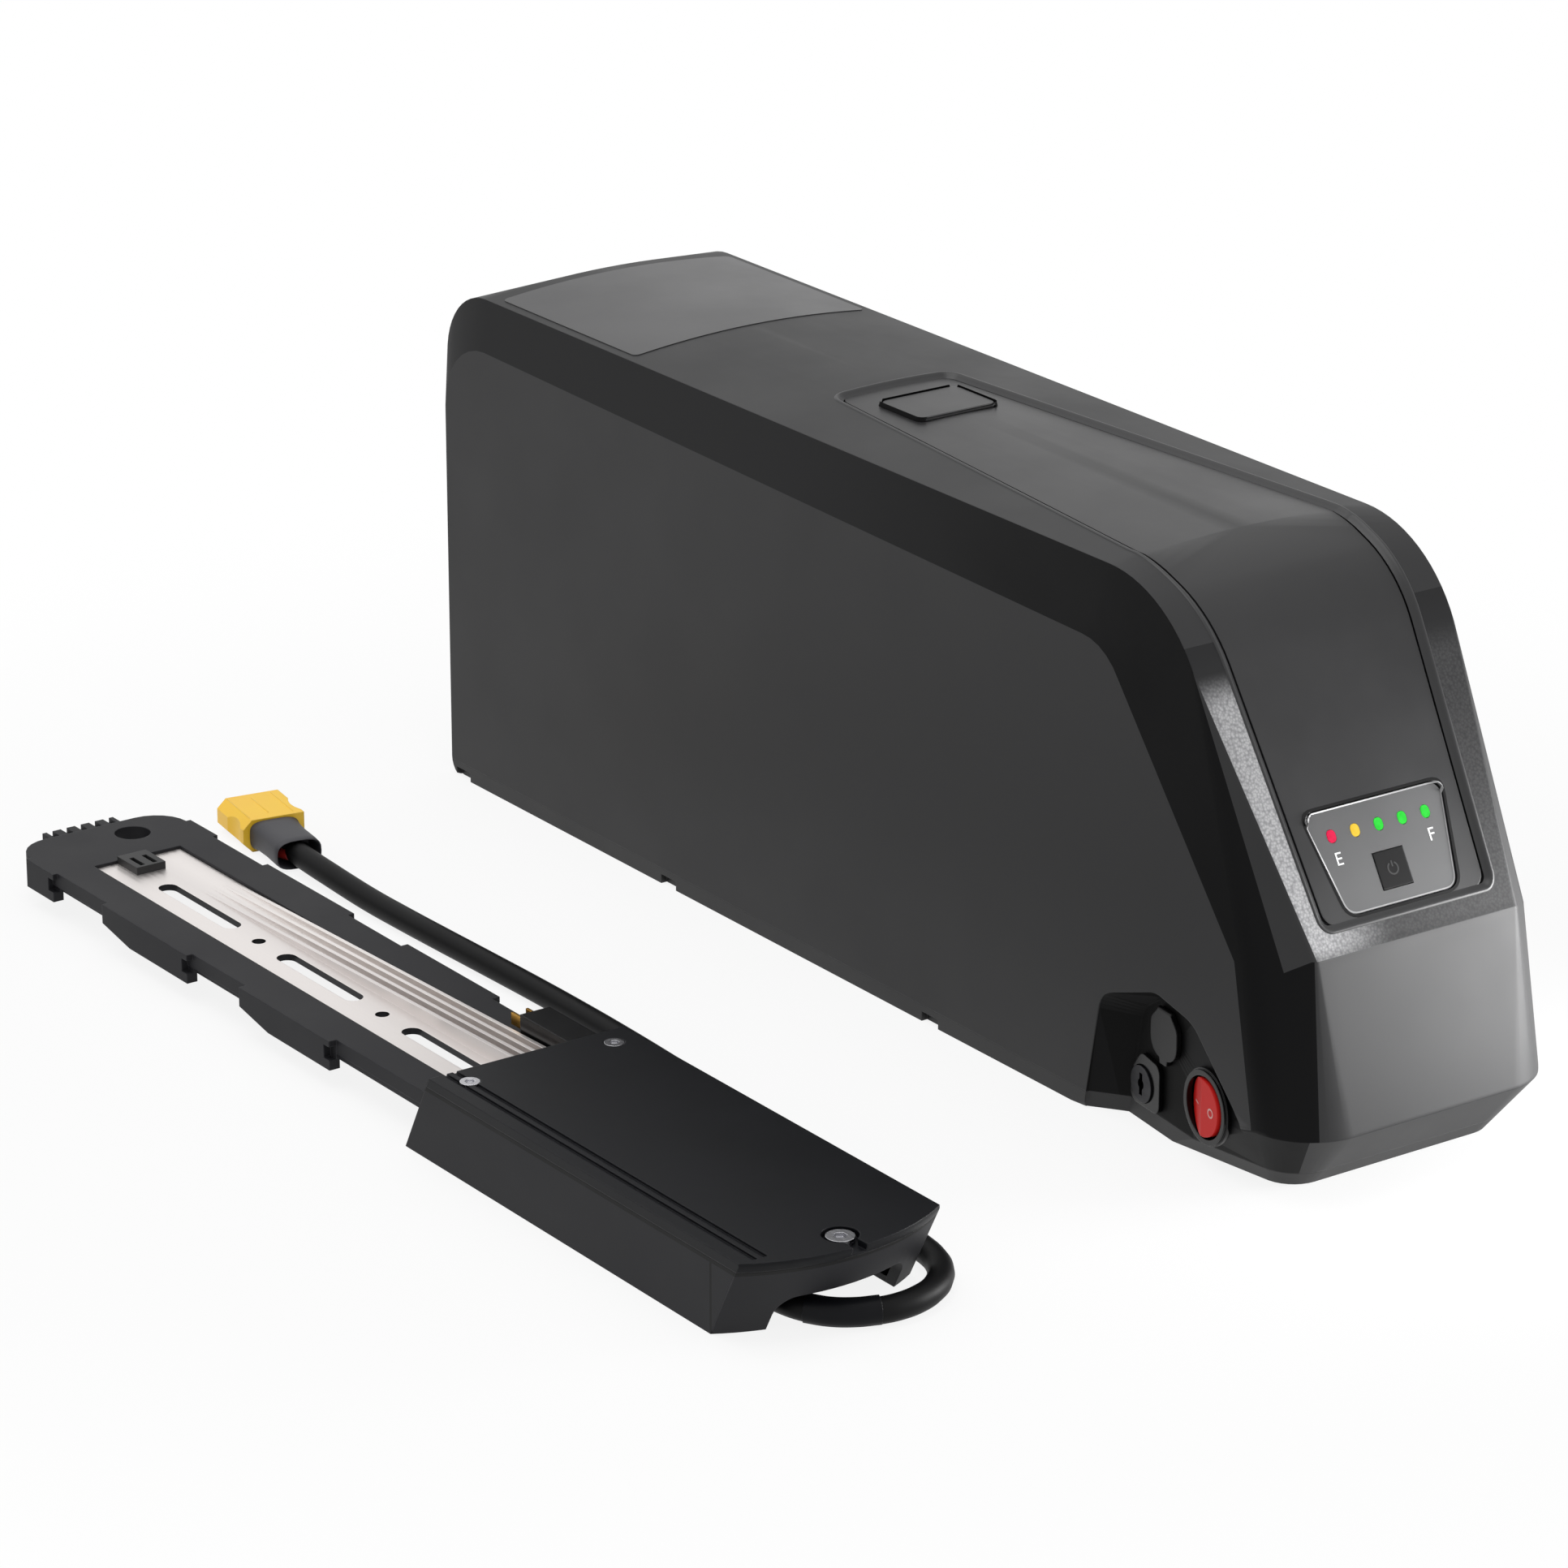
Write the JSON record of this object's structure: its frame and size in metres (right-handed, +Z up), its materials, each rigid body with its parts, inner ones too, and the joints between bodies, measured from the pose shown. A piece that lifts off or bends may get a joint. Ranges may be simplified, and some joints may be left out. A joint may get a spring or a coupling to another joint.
{
  "type": "e-bike battery",
  "caption": "Down-tube e-bike battery with charge display, side pocket with lock, charge port and switch, shown beside its mounting rail with controller box and cabled plug.",
  "frame": {"origin": "on the floor plane under the middle of the set's outer box: the battery stands at +Y and the mounting base lies at -Y", "axes": "+X towards the battery's display end, +Y towards the battery, +Z up"},
  "size_m": [0.43, 0.27, 0.1663],
  "materials": {
    "case_plastic": "fine-grained moulded nylon, near black",
    "band_plastic": "smooth dark moulded plastic",
    "inlay_film": "satin graphite inlay",
    "gasket_rubber": "soft black sealing rubber",
    "cap_rubber": "black rubber port cap",
    "steel_dark": "blackened steel screws",
    "steel_bright": "bright zinc-plated steel",
    "aluminium_plate": "extruded aluminium, fine lengthwise grain",
    "brass_contact": "gold-flashed brass contacts",
    "board_green": "green solder mask",
    "chip_black": "black moulded chip packages",
    "cell_wrap": "green shrink wrap on the cells",
    "holder_white": "off-white flame-retardant plastic",
    "nickel": "spot-welded nickel strip",
    "foam_grey": "closed-cell foam",
    "lead_sleeve": "silicone lead insulation",
    "display_face": "glossy graphite display face",
    "button_black": "satin black button",
    "red_light": "lit red charge light",
    "yellow_light": "lit yellow charge light",
    "green_light": "lit green charge light",
    "label_satin": "blank satin label film",
    "switch_black": "glossy black switch body",
    "rocker_red": "translucent red rocker",
    "lock_steel": "turned steel lock barrel",
    "rail_plastic": "charcoal glass-filled nylon",
    "lid_plastic": "satin black lid",
    "cable_rubber": "black rubber cable sheath",
    "sleeve_grey": "grey shrink sleeve",
    "plug_yellow": "amber nylon connector",
    "can_blue": "dark blue capacitor sleeve"
  },
  "bodies": {
    "battery": {"main_housing": "case_plastic", "bottom_cover": "band_plastic", "cover_gasket": "gasket_rubber", "cover_screws": "steel_dark", "top_inlay": "inlay_film", "badge_plate": "inlay_film", "display_bezel": "display_face", "display_board": "board_green", "led_red": "red_light", "led_yellow": "yellow_light", "led_green": "green_light", "rating_label": "label_satin", "charge_socket": "switch_black", "charge_pin": "steel_bright", "lock_plate": "switch_black", "latch_guide": "band_plastic", "switch_frame": "switch_black", "switch_terminals": "brass_contact", "cells": "cell_wrap", "cell_holder_left": "holder_white", "cell_holder_right": "holder_white", "nickel_strips_left": "nickel", "nickel_strips_right": "nickel", "bms_board": "board_green", "bms_mosfets": "chip_black", "bms_heatsink": "aluminium_plate", "discharge_socket": "switch_black", "socket_contacts": "brass_contact", "power_leads": "lead_sleeve", "foam_pad": "foam_grey"},
    "port_cap": {"port_cap": "cap_rubber"},
    "rocker": {"switch_rocker": "rocker_red"},
    "button": {"power_button": "button_black"},
    "key": {"lock_barrel": "lock_steel"},
    "latch": {"latch_bolt": "steel_bright"},
    "base": {"rail_tray": "rail_plastic", "rail_plate": "aluminium_plate", "keeper_tab": "band_plastic", "terminal_block": "switch_black", "terminal_blades": "brass_contact", "controller_case": "rail_plastic", "controller_lid": "lid_plastic", "end_cap": "rail_plastic", "controller_board": "board_green", "capacitors": "can_blue", "controller_mosfets": "chip_black", "lid_screws": "steel_bright", "cap_screw": "steel_bright", "cable_gland": "cable_rubber", "power_cable": "cable_rubber", "plug_sleeve": "sleeve_grey", "plug_housing": "plug_yellow", "plug_contacts": "brass_contact"}
  },
  "joints": [
    {"name": "base_lift", "type": "slide", "parent": "battery", "child": "base", "axis": [0, 0, 1], "range_m": [0, 0.06]},
    {"name": "switch_rock", "type": "hinge", "parent": "battery", "child": "rocker", "pos_m": [0.17376, 0.04083, 0.018], "axis": [0, 0, 1], "range_deg": [0, 18]},
    {"name": "power_button_press", "type": "slide", "parent": "battery", "child": "button", "axis": [-0.8575, 0, -0.5145], "range_m": [0, 0.0008], "stiffness_N_per_m": 400},
    {"name": "port_cap_open", "type": "hinge", "parent": "battery", "child": "port_cap", "pos_m": [0.1512, 0.04179, 0.0382], "axis": [-0.9917, 0.1288, 0], "range_deg": [0, 110]},
    {"name": "key_turn", "type": "hinge", "parent": "battery", "child": "key", "pos_m": [0.14041, 0.04415, 0.0125], "axis": [0.1288, 0.9917, 0], "range_deg": [0, 90]},
    {"name": "latch_slide", "type": "slide", "parent": "battery", "child": "latch", "axis": [1, 0, 0], "range_m": [0, 0.006]}
  ],
  "couplings": [
    {"joint": "key_turn", "follows": "latch_slide", "rad_per_m": 261.8}
  ]
}
